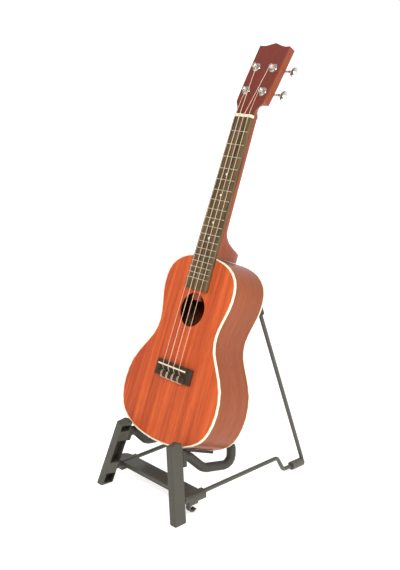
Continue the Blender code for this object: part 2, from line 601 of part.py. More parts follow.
def build_side(name, mirror):
    """The pieces that repeat left and right."""
    build_leg(f"leg_{name}", mirror)
    pin = bar(((0, -6.4, 0), (0, 28.0, 0)), PIN_R, 24)
    finish(f"leg_pin_{name}", moved(pin, LEG_FRAME), "steel_pin", STAND, PIVOT, mirror)
    build_arm(name, mirror)
    path = rounded_path([(WIRE_X, y, z) for y, z in WIRE_PATH], (9.0, 9.0), 5)
    finish(f"floor_wire_{name}", bar(path, WIRE_R, 14), "wire_black", STAND, mirror=mirror)
    foot = upright_point(SLEEVE_R)
    path = rounded_path([(WIRE_X, 230.5, SLEEVE_R), foot, upright_point(UPRIGHT_TOP)], (4.8,), 6)
    finish(f"upright_{name}", bar(path, WIRE_R, 16), "wire_black", STAND, foot, mirror)
    (y0, y1), hole = SLEEVE_Y, WIRE_R + 0.15
    sleeve = cut(bar(((WIRE_X, y0, SLEEVE_R), (WIRE_X, y1, SLEEVE_R)), SLEEVE_R, 28),
                 bar(((WIRE_X, y0 - 3, SLEEVE_R), (WIRE_X, y1 - 2.4, SLEEVE_R)), hole, 20),
                 bar(path, hole + 0.1, 16))
    finish(f"foot_sleeve_{name}", sleeve, "rubber_black", STAND, foot, mirror)
    low, high = upright_point(PAD_Z[0]), upright_point(PAD_Z[1])
    socket = bar((upright_point(PAD_Z[0] - 4), upright_point(UPRIGHT_TOP + 0.4)), WIRE_R + 0.12, 16)
    pad = cut(domed(low, high, PAD_R, 20, 2.5), socket)
    finish(f"back_pad_{name}", pad, "rubber_black", STAND, foot, mirror)


def main():
    clear_scene()
    build_body()
    build_neck()
    build_board()
    build_bridge()
    for index in range(4):
        build_string(index)
    for index, (side, row) in enumerate(((-1, 0), (-1, 1), (1, 1), (1, 0))):
        build_tuner(index + 1, side, POST_ROWS[row])
    build_crossbar()
    build_side("right", False)
    build_side("left", True)


main()
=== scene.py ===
"""Finished looks for a concert ukulele on its fold-flat stand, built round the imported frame."""

import json
import math

import bmesh
import bpy
from bpy.props import FloatProperty, FloatVectorProperty, IntProperty, PointerProperty
from mathutils import Matrix, Vector

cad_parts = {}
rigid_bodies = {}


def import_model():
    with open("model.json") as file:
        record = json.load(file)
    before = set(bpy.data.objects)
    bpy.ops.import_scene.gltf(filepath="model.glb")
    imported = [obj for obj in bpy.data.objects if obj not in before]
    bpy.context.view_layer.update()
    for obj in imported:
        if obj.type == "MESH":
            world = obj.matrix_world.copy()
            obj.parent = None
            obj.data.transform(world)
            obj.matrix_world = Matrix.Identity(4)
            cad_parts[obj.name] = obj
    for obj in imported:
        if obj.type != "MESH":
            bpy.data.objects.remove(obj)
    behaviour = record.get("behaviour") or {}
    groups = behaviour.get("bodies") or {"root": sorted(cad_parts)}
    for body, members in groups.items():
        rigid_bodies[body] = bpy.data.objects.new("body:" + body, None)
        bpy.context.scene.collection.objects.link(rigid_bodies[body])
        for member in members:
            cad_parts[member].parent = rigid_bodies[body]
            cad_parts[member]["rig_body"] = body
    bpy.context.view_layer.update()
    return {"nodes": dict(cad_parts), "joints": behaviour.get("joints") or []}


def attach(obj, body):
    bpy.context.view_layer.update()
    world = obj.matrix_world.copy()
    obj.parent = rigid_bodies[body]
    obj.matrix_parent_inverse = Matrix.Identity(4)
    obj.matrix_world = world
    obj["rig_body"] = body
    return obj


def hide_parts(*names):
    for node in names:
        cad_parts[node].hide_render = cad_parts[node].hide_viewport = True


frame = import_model()
MM = 0.001

bl_info = {
    "name": "Ukulele On Folding Stand",
    "version": (1, 0, 0),
    "blender": (4, 5, 0),
    "location": "View3D > Sidebar > Ukulele",
    "description": "Builds a concert ukulele and its folding stand piece by piece on a packed frame",
    "category": "Add Mesh",
}


def linear(code):
    """An sRGB hex colour as linear red, green, blue and full alpha."""
    parts = [int(code[i:i + 2], 16) / 255 for i in (0, 2, 4)]
    return (*[c / 12.92 if c <= 0.04045 else ((c + 0.055) / 1.055) ** 2.4 for c in parts], 1.0)


# --- places, all read from the frame ---

JOINTS = {joint["name"]: joint for joint in frame["joints"]}
SIDES = {"left": -1, "right": 1}


def span(node, place):
    """A node's lowest and highest corner in the frame that place gives."""
    back = place.inverted()
    points = [back @ v.co for v in frame["nodes"][node].data.vertices]
    return tuple(Vector([pick(p[i] for p in points) for i in range(3)]) for pick in (min, max))


def instrument_place():
    """x across the instrument, y into its depth from the soundboard's face, z up the neck from the saddle."""
    up = Vector(JOINTS["lift_off"]["axis"])
    turn = Matrix.Rotation(-math.atan2(up.y, up.z), 4, "X")
    face, crest = span("soundboard", turn)[0], span("saddle", turn)
    return turn @ Matrix.Translation((0.0, face.y, (crest[0].z + crest[1].z) / 2))


def head_place():
    """The same for the headstock: its zero is on its face, midway between the lower string posts."""
    into = Vector(JOINTS["post_1_turn"]["axis"])
    low = (Vector(JOINTS["post_1_turn"]["pos_m"]) + Vector(JOINTS["post_4_turn"]["pos_m"])) / 2
    return Matrix.Translation(low) @ Matrix.Rotation(-math.atan2(-into.z, into.y), 4, "X")


INSTRUMENT = instrument_place()
HEAD = head_place()
LEAN = -INSTRUMENT.to_euler().x
HEAD_LEAN = -HEAD.to_euler().x
POSTS = [HEAD.inverted() @ Vector(JOINTS[f"post_{i}_turn"]["pos_m"]) for i in range(1, 5)]
WORMS = [HEAD.inverted() @ Vector(JOINTS[f"button_{i}_turn"]["pos_m"]) for i in range(1, 5)]


# --- what a user may change ---

class UkuleleSizes(bpy.types.PropertyGroup):
    """Sizes of the instrument's fine pieces, in metres."""

    scale_length: FloatProperty(name="Scale length", description="Nut to saddle, open string",
                                default=0.381, unit="LENGTH")
    frets: IntProperty(name="Frets", description="Number of frets on the board", default=18)
    fret_crown: FloatProperty(name="Fret crown", description="Radius of a fret's rounded top",
                              default=0.00065, unit="LENGTH")
    dot: FloatProperty(name="Position dot", description="Radius of a position dot",
                       default=0.0019, unit="LENGTH")
    saddle_spread: FloatProperty(name="String spread at saddle", description="Outer strings apart",
                                 default=0.036, unit="LENGTH")
    nut_spread: FloatProperty(name="String spread at nut", description="Outer strings apart",
                              default=0.027, unit="LENGTH")
    string_radius: FloatVectorProperty(name="String radii", description="Radius of each string",
                                       size=4, default=(0.00036, 0.00052, 0.00046, 0.00034),
                                       unit="LENGTH")
    windings: FloatProperty(name="Windings", description="Turns of string on each post", default=3.2)
    binding_round: FloatProperty(name="Binding rounding", description="Radius along the body's edges",
                                 default=0.0007, unit="LENGTH")


class StandSizes(bpy.types.PropertyGroup):
    """Sizes of the stand's fine pieces, in metres."""

    edge_round: FloatProperty(name="Moulded edge", description="Radius on the moulded plastic's edges",
                              default=0.0006, unit="LENGTH")
    screw_head: FloatProperty(name="Screw head", description="Radius of a leg screw's head",
                              default=0.0021, unit="LENGTH")


def colour(name, code, description):
    return FloatVectorProperty(name=name, description=description, subtype="COLOR", size=4,
                               min=0.0, max=1.0, default=linear(code))


class FinishColours(bpy.types.PropertyGroup):
    """Base colours of the finishes."""

    top_light: colour("Top, light", "E0662F", "Light ribbon of the soundboard's mahogany")
    top_dark: colour("Top, dark", "B04522", "Dark ribbon of the soundboard's mahogany")
    side_light: colour("Side, light", "9A4F2C", "Light streak of sides and back")
    side_dark: colour("Side, dark", "80401F", "Dark streak of sides and back")
    neck_light: colour("Neck, light", "96492A", "Light grain of the neck")
    neck_dark: colour("Neck, dark", "7C3B20", "Dark grain of the neck")
    veneer: colour("Headstock", "7E3020", "Headstock veneer")
    rosewood_light: colour("Rosewood, light", "75603F", "Light grain of board and bridge")
    rosewood_dark: colour("Rosewood, dark", "46382A", "Dark grain of board and bridge")
    cream: colour("Binding", "F8ECCF", "Body binding")
    bone: colour("Nut and saddle", "F2E6C8", "Nut and saddle")
    string: colour("Strings", "DCC0A6", "Clear strings over wood")
    spruce: colour("Bare wood", "C79E68", "Linings, tail block and braces inside")
    plastic: colour("Moulded plastic", "38362C", "Legs and crossbar")
    rubber: colour("Rubber", "302D25", "Arms, rests and pads")
    sleeve: colour("Foot sleeves", "4C4A40", "Sleeves at the feet")
    coating: colour("Wire coating", "3E3C33", "Coated stand wires")


class StudioSettings(bpy.types.PropertyGroup):
    """Camera and light."""

    lens: FloatProperty(name="Lens", description="Focal length in millimetres", default=60.68)
    azimuth: FloatProperty(name="Azimuth", description="Camera's turn from the front",
                           default=math.radians(47.76), subtype="ANGLE")
    elevation: FloatProperty(name="Elevation", description="Camera's height over the horizon",
                             default=math.radians(15.40), subtype="ANGLE")
    distance: FloatProperty(name="Distance", description="From the camera to its target",
                            default=1.42084, unit="LENGTH")
    target: FloatVectorProperty(name="Target", description="The point in the middle of the view",
                                default=(-0.0004, -0.01587, 0.31175), unit="LENGTH")
    key: FloatProperty(name="Key light", description="Power of the large soft light", default=30.0)
    sky: FloatProperty(name="Studio walls", description="Brightness of the dim wall, front left",
                       default=0.2)


# --- mesh helpers ---

def welded(node):
    """A node's own shape as one joined mesh, flat areas whole again."""
    bm = bmesh.new()
    bm.from_mesh(frame["nodes"][node].data)
    bmesh.ops.remove_doubles(bm, verts=bm.verts, dist=2e-6)
    bmesh.ops.dissolve_limit(bm, angle_limit=math.radians(0.4), verts=bm.verts, edges=bm.edges)
    return bm


def eased(bm, width, angle=38.0, segments=2):
    """Rounds the edges that turn more sharply than angle."""
    limit = math.radians(angle)
    sharp = [e for e in bm.edges if e.is_manifold and e.calc_face_angle() > limit]
    bmesh.ops.bevel(bm, geom=sharp, offset=width, segments=segments, profile=0.5,
                    affect="EDGES", clamp_overlap=True)
    return bm


def smooth_mesh(name, bm, angle=38.0):
    """A mesh from bm, smooth but for the edges that turn more sharply than angle."""
    mesh = bpy.data.meshes.new(name)
    bm.to_mesh(mesh)
    bm.free()
    mesh.shade_smooth()
    mesh.set_sharp_from_angle(angle=math.radians(angle))
    return mesh


def settled(obj):
    """Applies the object's modifiers, so that only a plain mesh is left."""
    graph = bpy.context.evaluated_depsgraph_get()
    mesh = bpy.data.meshes.new_from_object(obj.evaluated_get(graph))
    obj.modifiers.clear()
    obj.data = mesh
    mesh.name = obj.name


def piece(name, mesh, body, look, stands_for=()):
    """One finished piece: an object at the origin, with its finish, riding on its body."""
    obj = bpy.data.objects.new(name, mesh)
    bpy.context.scene.collection.objects.link(obj)
    if look:
        mesh.materials.clear()
        mesh.materials.append(look)
    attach(obj, body)
    if stands_for:
        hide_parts(*stands_for)
    return obj


def refined(node, look, width=0.0, angle=38.0, segments=2):
    """The node's shape again, with rounded edges and true highlights, in the node's place."""
    bm = welded(node)
    if width:
        eased(bm, width, angle, segments)
    body = frame["nodes"][node]["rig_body"]
    obj = piece(f"{node}_finished", smooth_mesh(node, bm, angle), body, look, (node,))
    weight = obj.modifiers.new("Even highlights", "WEIGHTED_NORMAL")
    weight.keep_sharp = True
    settled(obj)
    return obj


def turned(profile, sides=32, ring=False):
    """A round piece about +Z from its (radius, height) outline; a ring's outline closes on itself."""
    bm = bmesh.new()
    rings = []
    for radius, height in profile:
        turn = [math.tau * i / sides for i in range(sides)]
        rings.append([bm.verts.new((radius * math.cos(a), radius * math.sin(a), height)) for a in turn])
    pairs = list(zip(rings, rings[1:])) + ([(rings[-1], rings[0])] if ring else [])
    for low, high in pairs:
        for i in range(sides):
            bm.faces.new((low[i], low[i - 1], high[i - 1], high[i]))
    if not ring:
        bm.faces.new(rings[0])
        bm.faces.new(list(reversed(rings[-1])))
    bmesh.ops.remove_doubles(bm, verts=bm.verts, dist=1e-7)
    bmesh.ops.recalc_face_normals(bm, faces=bm.faces)
    return bm


def curved(points, steps=6):
    """A smooth line through the points."""
    points = [Vector(p) for p in points]
    points = [points[0]] + points + [points[-1]]
    line = []
    for a, b, c, d in zip(points, points[1:], points[2:], points[3:]):
        for i in range(steps):
            t = i / steps
            line.append(0.5 * (2 * b + (c - a) * t + (2 * a - 5 * b + 4 * c - d) * t * t
                               + (3 * b - a - 3 * c + d) * t ** 3))
    return line + [points[-1]]


def strand(path, radius, sides=10):
    """A round strand along a path, closed at both ends."""
    bm = bmesh.new()
    count = len(path)
    heading = [(path[min(i + 1, count - 1)] - path[max(i - 1, 0)]).normalized() for i in range(count)]
    side = heading[0].orthogonal().normalized()
    rings = []
    for point, along in zip(path, heading):
        side = (side - along * side.dot(along)).normalized()
        across = along.cross(side)
        turn = [math.tau * i / sides for i in range(sides)]
        rings.append([bm.verts.new(point + (side * math.cos(a) + across * math.sin(a)) * radius)
                      for a in turn])
    for low, high in zip(rings, rings[1:]):
        for i in range(sides):
            bm.faces.new((low[i], low[i - 1], high[i - 1], high[i]))
    bm.faces.new(rings[0])
    bm.faces.new(list(reversed(rings[-1])))
    bmesh.ops.recalc_face_normals(bm, faces=bm.faces)
    return bm


def joined(*parts):
    """Several closed meshes in one."""
    whole = bmesh.new()
    for part in parts:
        mesh = bpy.data.meshes.new("part")
        part.to_mesh(mesh)
        part.free()
        whole.from_mesh(mesh)
        bpy.data.meshes.remove(mesh)
    return whole


def moved(bm, *matrices):
    for matrix in matrices:
        bm.transform(matrix)
        if matrix.determinant() < 0:
            bmesh.ops.reverse_faces(bm, faces=bm.faces)
    return bm


# --- node helpers ---

def add(tree, kind, inputs=None, **settings):
    """A node of a kind, with its settings; an input that is a socket is linked, any other is set."""
    node = tree.nodes.new(kind)
    for name, value in settings.items():
        setattr(node, name, value)
    for name, value in (inputs or {}).items():
        if isinstance(value, bpy.types.NodeSocket):
            tree.links.new(value, node.inputs[name])
        else:
            node.inputs[name].default_value = value
    return node


def math_node(tree, operation, *values):
    return add(tree, "ShaderNodeMath", dict(enumerate(values)), operation=operation).outputs[0]


# --- geometry rules ---

def new_rule(name, **inputs):
    """An empty geometry tree with named inputs; gives the tree, its inputs by name and its output."""
    tree = bpy.data.node_groups.new(name, "GeometryNodeTree")
    tree.interface.new_socket("Geometry", in_out="OUTPUT", socket_type="NodeSocketGeometry")
    tree.interface.new_socket("Geometry", in_out="INPUT", socket_type="NodeSocketGeometry")
    for label, kind in inputs.items():
        tree.interface.new_socket(label, in_out="INPUT", socket_type=f"NodeSocket{kind}")
    tree.interface.new_socket("Material", in_out="INPUT", socket_type="NodeSocketMaterial")
    given = tree.nodes.new("NodeGroupInput").outputs
    result = tree.nodes.new("NodeGroupOutput").inputs[0]
    return tree, given, result


def close_rule(tree, given, result, shape):
    """Ends a tree in real, smooth geometry with the given material."""
    real = add(tree, "GeometryNodeRealizeInstances", {0: shape}).outputs[0]
    smooth = add(tree, "GeometryNodeSetShadeSmooth", {0: real}).outputs[0]
    last = add(tree, "GeometryNodeSetMaterial", {0: smooth, "Material": given["Material"]}).outputs[0]
    tree.links.new(last, result)


def grown(tree, points=((0.0, 0.0, 0.0),), **values):
    """Runs a geometry tree on some points and gives back a plain mesh."""
    base = bpy.data.meshes.new(tree.name)
    base.from_pydata([tuple(p) for p in points], [], [])
    obj = bpy.data.objects.new(tree.name, base)
    bpy.context.scene.collection.objects.link(obj)
    modifier = obj.modifiers.new(tree.name, "NODES")
    modifier.node_group = tree
    for item in tree.interface.items_tree:
        if item.in_out == "INPUT" and item.name in values:
            modifier[item.identifier] = values[item.name]
    graph = bpy.context.evaluated_depsgraph_get()
    mesh = bpy.data.meshes.new_from_object(obj.evaluated_get(graph))
    bpy.data.objects.remove(obj)
    bpy.data.meshes.remove(base)
    return mesh


def fret_rule():
    """Half-round bars across the board at equal-tempered distances, as wide as the board there."""
    tree, given, result = new_rule("fret_row", Count="Int", Scale="Float", Nut="Float", Face="Float",
                                   NutHalf="Float", EndHalf="Float", End="Float", Crown="Float")
    line = add(tree, "GeometryNodeMeshLine", {"Count": given["Count"], "Offset": (0.0, 0.0, 0.0)})
    index = add(tree, "GeometryNodeInputIndex").outputs[0]
    order = math_node(tree, "MULTIPLY", math_node(tree, "ADD", index, 1.0), -1.0 / 12.0)
    sounding = math_node(tree, "SUBTRACT", 1.0, math_node(tree, "POWER", 2.0, order))
    reach = math_node(tree, "MULTIPLY", given["Scale"], sounding)
    height = math_node(tree, "SUBTRACT", given["Nut"], reach)
    share = math_node(tree, "DIVIDE", reach, math_node(tree, "SUBTRACT", given["Nut"], given["End"]))
    wider = math_node(tree, "SUBTRACT", given["EndHalf"], given["NutHalf"])
    half = math_node(tree, "ADD", given["NutHalf"], math_node(tree, "MULTIPLY", share, wider))
    place = add(tree, "ShaderNodeCombineXYZ", {"X": 0.0, "Y": given["Face"], "Z": height}).outputs[0]
    spots = add(tree, "GeometryNodeSetPosition", {0: line.outputs[0], "Position": place}).outputs[0]
    across = add(tree, "GeometryNodeCurvePrimitiveLine",
                 {"Start": (-1.0, 0.0, 0.0), "End": (1.0, 0.0, 0.0)}).outputs[0]
    crown = add(tree, "GeometryNodeCurvePrimitiveCircle", {"Resolution": 14, "Radius": given["Crown"]})
    bar = add(tree, "GeometryNodeCurveToMesh",
              {"Curve": across, "Profile Curve": crown.outputs[0], "Fill Caps": True}).outputs[0]
    size = add(tree, "ShaderNodeCombineXYZ", {"X": half, "Y": 1.0, "Z": 1.0}).outputs[0]
    row = add(tree, "GeometryNodeInstanceOnPoints", {"Points": spots, "Instance": bar, "Scale": size})
    close_rule(tree, given, result, row.outputs[0])
    return tree


def coil_rule():
    """A strand wound round +Z, as string on a post or the thread of a worm."""
    tree, given, result = new_rule("winding", Turns="Float", Radius="Float", Height="Float",
                                   Strand="Float")
    spiral = add(tree, "GeometryNodeCurveSpiral", {
        "Resolution": 28, "Rotations": given["Turns"], "Start Radius": given["Radius"],
        "End Radius": given["Radius"], "Height": given["Height"]}).outputs[0]
    round_ = add(tree, "GeometryNodeCurvePrimitiveCircle", {"Resolution": 8, "Radius": given["Strand"]})
    made = add(tree, "GeometryNodeCurveToMesh",
               {"Curve": spiral, "Profile Curve": round_.outputs[0], "Fill Caps": True}).outputs[0]
    close_rule(tree, given, result, made)
    return tree


def screw_rule():
    """A cross-slotted screw head on each point, its top towards +Z."""
    tree, given, result = new_rule("cross_screws", Radius="Float")
    radius = given["Radius"]
    height = math_node(tree, "MULTIPLY", radius, 0.8)
    head = add(tree, "GeometryNodeMeshUVSphere", {"Segments": 24, "Rings": 10, "Radius": radius}).outputs[0]
    flat = add(tree, "ShaderNodeCombineXYZ", {"X": 1.0, "Y": 1.0, "Z": 0.55}).outputs[0]
    head = add(tree, "GeometryNodeTransform", {0: head, "Scale": flat}).outputs[0]
    wide = math_node(tree, "MULTIPLY", radius, 1.25)
    thin = math_node(tree, "MULTIPLY", radius, 0.24)
    slots = []
    for a, b in ((wide, thin), (thin, wide)):
        size = add(tree, "ShaderNodeCombineXYZ", {"X": a, "Y": b, "Z": height}).outputs[0]
        cube = add(tree, "GeometryNodeMeshCube", {"Size": size}).outputs[0]
        lift = add(tree, "ShaderNodeCombineXYZ", {"X": 0.0, "Y": 0.0, "Z": height}).outputs[0]
        slots.append(add(tree, "GeometryNodeTransform", {0: cube, "Translation": lift}).outputs[0])
    cutter = add(tree, "GeometryNodeMeshBoolean", operation="UNION")
    for slot in slots:
        tree.links.new(slot, cutter.inputs["Mesh 2"])
    cut = add(tree, "GeometryNodeMeshBoolean", {"Mesh 1": head, "Mesh 2": cutter.outputs[0]},
              operation="DIFFERENCE").outputs[0]
    row = add(tree, "GeometryNodeInstanceOnPoints", {"Points": given["Geometry"], "Instance": cut})
    close_rule(tree, given, result, row.outputs[0])
    return tree


# --- materials ---

def new_look(name, **fixed):
    """A material with its shader's constant inputs set; gives the material, its tree and shader."""
    look = bpy.data.materials.new(name)
    look.use_nodes = True
    shader = look.node_tree.nodes["Principled BSDF"]
    for label, value in fixed.items():
        shader.inputs[label.replace("_", " ")].default_value = value
    return look, look.node_tree, shader


def place_coords(tree, lean=0.0):
    """Object coordinates turned so that z runs up the leaning piece."""
    coords = add(tree, "ShaderNodeTexCoord").outputs["Object"]
    return add(tree, "ShaderNodeMapping", {"Vector": coords, "Rotation": (lean, 0.0, 0.0)}).outputs[0]


def stretched_noise(tree, coords, size, detail=2.0, distortion=0.0):
    """Noise whose spots have about this size along x, y and z, in metres."""
    scaled = add(tree, "ShaderNodeMapping",
                 {"Vector": coords, "Scale": tuple(1.0 / s for s in size)}).outputs[0]
    noise = add(tree, "ShaderNodeTexNoise", {"Vector": scaled, "Scale": 1.0, "Detail": detail,
                                             "Roughness": 0.55, "Distortion": distortion})
    return noise.outputs["Fac"]


def between(tree, factor, low, high, start=0.0, end=1.0):
    """A value that runs from low to high while factor runs from start to end."""
    return add(tree, "ShaderNodeMapRange", {
        "Value": factor, "From Min": start, "From Max": end, "To Min": low, "To Max": high,
    }).outputs[0]


def blend_colours(tree, factor, one, two, mode="MIX"):
    return add(tree, "ShaderNodeMix", {0: factor, 6: one, 7: two}, data_type="RGBA",
               blend_type=mode).outputs[2]


def bump(tree, height, distance, strength=1.0):
    return add(tree, "ShaderNodeBump", {"Height": height, "Distance": distance,
                                        "Strength": strength}).outputs[0]


def grained_wood(name, light, dark, coords_of, ribbon, run, pore, gloss, rough, soft=0.1):
    """Cut and finished wood. Ribbon and run are the stripes' width and length, pore the open
    grain's width, all in metres; gloss is the weight of the varnish film over it, and soft is
    how slowly one stripe passes into the next."""
    look, tree, shader = new_look(name, Coat_Weight=gloss, Coat_Roughness=0.06, Coat_IOR=1.45,
                                  IOR=1.5, Specular_IOR_Level=0.2)
    coords = coords_of(tree)
    broad = stretched_noise(tree, coords, (ribbon, ribbon, run), 2.0, 0.25)
    fine = stretched_noise(tree, coords, (ribbon * 0.3, ribbon * 0.3, run * 0.5), 2.0)
    pores = stretched_noise(tree, coords, (pore, pore, pore * 24.0), 2.0)
    mixed = math_node(tree, "ADD", math_node(tree, "MULTIPLY", broad, 0.68),
                      math_node(tree, "MULTIPLY", fine, 0.32))
    ribbons = between(tree, mixed, 0.0, 1.0, 0.5 - soft, 0.5 + soft)
    base = blend_colours(tree, ribbons, dark, light)
    specks = between(tree, pores, 0.72, 1.0, 0.36, 0.5)
    grey = add(tree, "ShaderNodeCombineColor", {0: specks, 1: specks, 2: specks}).outputs[0]
    shade = blend_colours(tree, 0.75, base, grey, "MULTIPLY")
    tree.links.new(shade, shader.inputs["Base Color"])
    tree.links.new(between(tree, pores, rough + 0.12, rough, 0.35, 0.55), shader.inputs["Roughness"])
    tree.links.new(bump(tree, pores, 0.05 * MM, 0.35), shader.inputs["Normal"])
    return look


def leaning(lean):
    return lambda tree: place_coords(tree, lean)


def along_side(tree):
    """The bent side's own map: x round the outline turned to z, where the grain runs."""
    mapped = add(tree, "ShaderNodeTexCoord").outputs["UV"]
    parts = add(tree, "ShaderNodeSeparateXYZ", {0: mapped}).outputs
    return add(tree, "ShaderNodeCombineXYZ", {"X": parts[1], "Y": 0.0, "Z": parts[0]}).outputs[0]


def cast_plastic(name, tint, rough, mottle, gloss=0.0):
    """Cast or extruded plastic, bone or nylon: smooth, with a faint cloudiness in the body."""
    look, tree, shader = new_look(name, Coat_Weight=gloss, Coat_Roughness=0.1, IOR=1.52)
    coords = place_coords(tree)
    cloud = stretched_noise(tree, coords, (mottle, mottle, mottle), 3.0)
    value = between(tree, cloud, 0.86, 1.04, 0.3, 0.7)
    tinted = add(tree, "ShaderNodeHueSaturation", {"Value": value, "Color": tint}).outputs[0]
    tree.links.new(tinted, shader.inputs["Base Color"])
    tree.links.new(between(tree, cloud, rough * 0.85, rough * 1.2, 0.3, 0.7), shader.inputs["Roughness"])
    return look


def grained_moulding(name, tint, rough, grit, depth, edge_highlight=0.0):
    """Moulded plastic or rubber whose tool was spark-eroded: an even fine grit that breaks the
    highlight, and a painted highlight that makes the sharp edges paler by the given amount."""
    look, tree, shader = new_look(name, IOR=1.5)
    coords = place_coords(tree)
    grain = stretched_noise(tree, coords, (grit, grit, grit), 2.0)
    patch = stretched_noise(tree, coords, (28 * MM, 28 * MM, 28 * MM), 3.0)
    value = math_node(tree, "MULTIPLY", between(tree, grain, 0.82, 1.18, 0.3, 0.7),
                      between(tree, patch, 0.86, 1.14, 0.3, 0.7))
    edge = add(tree, "ShaderNodeNewGeometry").outputs["Pointiness"]
    # Painted highlight: the sharp convex edges are made paler.
    highlit_edges = math_node(tree, "ADD", value, between(tree, edge, 0.0, edge_highlight, 0.505, 0.58))
    tinted = add(tree, "ShaderNodeHueSaturation", {"Value": highlit_edges, "Color": tint}).outputs[0]
    tree.links.new(tinted, shader.inputs["Base Color"])
    tree.links.new(between(tree, patch, rough - 0.06, rough + 0.08, 0.3, 0.7), shader.inputs["Roughness"])
    tree.links.new(bump(tree, grain, depth, 0.6), shader.inputs["Normal"])
    return look


def worked_metal(name, tint, rough, scratch):
    """Plated or drawn metal: mirror-like, with fine wiping marks that spread the highlight."""
    look, tree, shader = new_look(name, Metallic=1.0)
    coords = place_coords(tree)
    marks = stretched_noise(tree, coords, (scratch, scratch, scratch * 14), 2.0)
    haze = stretched_noise(tree, coords, (3 * MM, 3 * MM, 3 * MM), 3.0)
    value = between(tree, haze, 0.9, 1.05, 0.3, 0.7)
    tinted = add(tree, "ShaderNodeHueSaturation", {"Value": value, "Color": tint}).outputs[0]
    tree.links.new(tinted, shader.inputs["Base Color"])
    tree.links.new(between(tree, marks, rough, rough * 2.2, 0.3, 0.75), shader.inputs["Roughness"])
    return look


def powder_coating(name, tint):
    """Baked powder paint on drawn wire: a low orange-peel swell under a semi-gloss skin."""
    look, tree, shader = new_look(name, IOR=1.5, Coat_Weight=0.25, Coat_Roughness=0.25)
    coords = place_coords(tree)
    peel = stretched_noise(tree, coords, (1.1 * MM, 1.1 * MM, 1.1 * MM), 1.0)
    patch = stretched_noise(tree, coords, (18 * MM, 18 * MM, 18 * MM), 2.0)
    value = between(tree, patch, 0.88, 1.12, 0.3, 0.7)
    tinted = add(tree, "ShaderNodeHueSaturation", {"Value": value, "Color": tint}).outputs[0]
    tree.links.new(tinted, shader.inputs["Base Color"])
    tree.links.new(between(tree, peel, 0.32, 0.44, 0.3, 0.7), shader.inputs["Roughness"])
    tree.links.new(bump(tree, peel, 0.04 * MM, 0.5), shader.inputs["Normal"])
    return look


LOOKS = {}


def make_looks(tints):
    """Every finish of the object, each from what the real surface is."""
    body, head = leaning(LEAN), leaning(HEAD_LEAN)
    LOOKS.update(
        # Quarter-cut mahogany under sprayed gloss lacquer: ribbons that run up the board.
        top=grained_wood("lacquered_ribbon_mahogany", tints.top_light, tints.top_dark, body,
                         12 * MM, 300 * MM, 0.8 * MM, 0.8, 0.4, 0.16),
        back=grained_wood("lacquered_mahogany_back", tints.side_light, tints.side_dark, body,
                          11 * MM, 240 * MM, 0.9 * MM, 0.7, 0.4, 0.16),
        # The same wood bent round the body, so its grain follows the side.
        side=grained_wood("lacquered_bent_mahogany", tints.side_light, tints.side_dark, along_side,
                          8 * MM, 200 * MM, 0.7 * MM, 0.25, 0.5, 0.3),
        # Satin lacquer on a carved neck: straight grain and a wide dull sheen.
        neck=grained_wood("satin_carved_mahogany", tints.neck_light, tints.neck_dark, body,
                          6 * MM, 160 * MM, 0.7 * MM, 0.2, 0.45, 0.3),
        veneer=grained_wood("lacquered_head_veneer", tints.veneer, tuple(c * 0.8 for c in tints.veneer),
                            head, 5 * MM, 90 * MM, 0.6 * MM, 0.7, 0.4, 0.2),
        # Oiled rosewood: open dark pores, no film on it.
        rosewood=grained_wood("oiled_rosewood", tints.rosewood_light, tints.rosewood_dark, body,
                              2.6 * MM, 70 * MM, 0.6 * MM, 0.0, 0.46),
        # The bridge is cut from a darker board of the same timber.
        bridge=grained_wood("oiled_dark_rosewood", tints.rosewood_dark,
                            tuple(c * 0.7 for c in tints.rosewood_dark), body,
                            2.6 * MM, 70 * MM, 0.6 * MM, 0.0, 0.5),
        spruce=grained_wood("planed_bare_spruce", tints.spruce, tuple(c * 0.7 for c in tints.spruce),
                            body, 1.8 * MM, 120 * MM, 0.5 * MM, 0.0, 0.6),
        # Extruded cellulose-like strip, scraped flush and lacquered over.
        cream=cast_plastic("lacquered_cream_binding", tints.cream, 0.3, 6 * MM, 0.6),
        bone=cast_plastic("polished_bone", tints.bone, 0.24, 1.6 * MM),
        string=cast_plastic("drawn_clear_nylon", tints.string, 0.28, 3 * MM),
        pearl=cast_plastic("pressed_pearl_dot", linear("F6EEDD"), 0.18, 0.8 * MM, 0.5),
        chrome=worked_metal("chrome_plated_zinc", linear("DADAD6"), 0.09, 0.25 * MM),
        nickel=worked_metal("polished_nickel_silver", linear("D9D2BE"), 0.2, 0.15 * MM),
        pin=worked_metal("turned_steel", linear("8F8D88"), 0.28, 0.2 * MM),
        # Glass-filled nylon from a spark-eroded mould, its grit drawn at 0.7 mm so that it shows, with a
        # painted highlight on its edges.
        plastic=grained_moulding("spark_eroded_glass_nylon", tints.plastic, 0.46, 0.7 * MM,
                                 0.04 * MM, 0.5),
        # Soft vinyl feet, paler than the rubber of the arms, with a painted highlight on their edges.
        sleeve=grained_moulding("moulded_vinyl_sleeve", tints.sleeve, 0.6, 0.8 * MM, 0.04 * MM, 0.2),
        # Arm rubber, with a faint painted highlight on its edges.
        rubber=grained_moulding("moulded_nitrile_rubber", tints.rubber, 0.58, 0.9 * MM, 0.05 * MM, 0.15),
        coating=powder_coating("powder_coated_steel_wire", tints.coating),
    )


# --- the instrument ---

def map_side(mesh):
    """A UV map round the bent sides in metres: distance round the outline, then depth."""
    back = INSTRUMENT.inverted()
    points = [back @ v.co for v in mesh.vertices]
    middle = (max(p.z for p in points) + min(p.z for p in points)) / 2
    reach = sum((p.xz - Vector((0.0, middle))).length for p in points) / len(points)
    layer = mesh.uv_layers.new(name="grain")
    for face in mesh.polygons:
        turns = [math.atan2(points[v].x, points[v].z - middle) for v in face.vertices]
        if max(turns) - min(turns) > math.pi:
            turns = [t + math.tau if t < 0 else t for t in turns]
        for loop, vertex, turn in zip(face.loop_indices, face.vertices, turns):
            layer.data[loop].uv = (turn * reach, points[vertex].y)


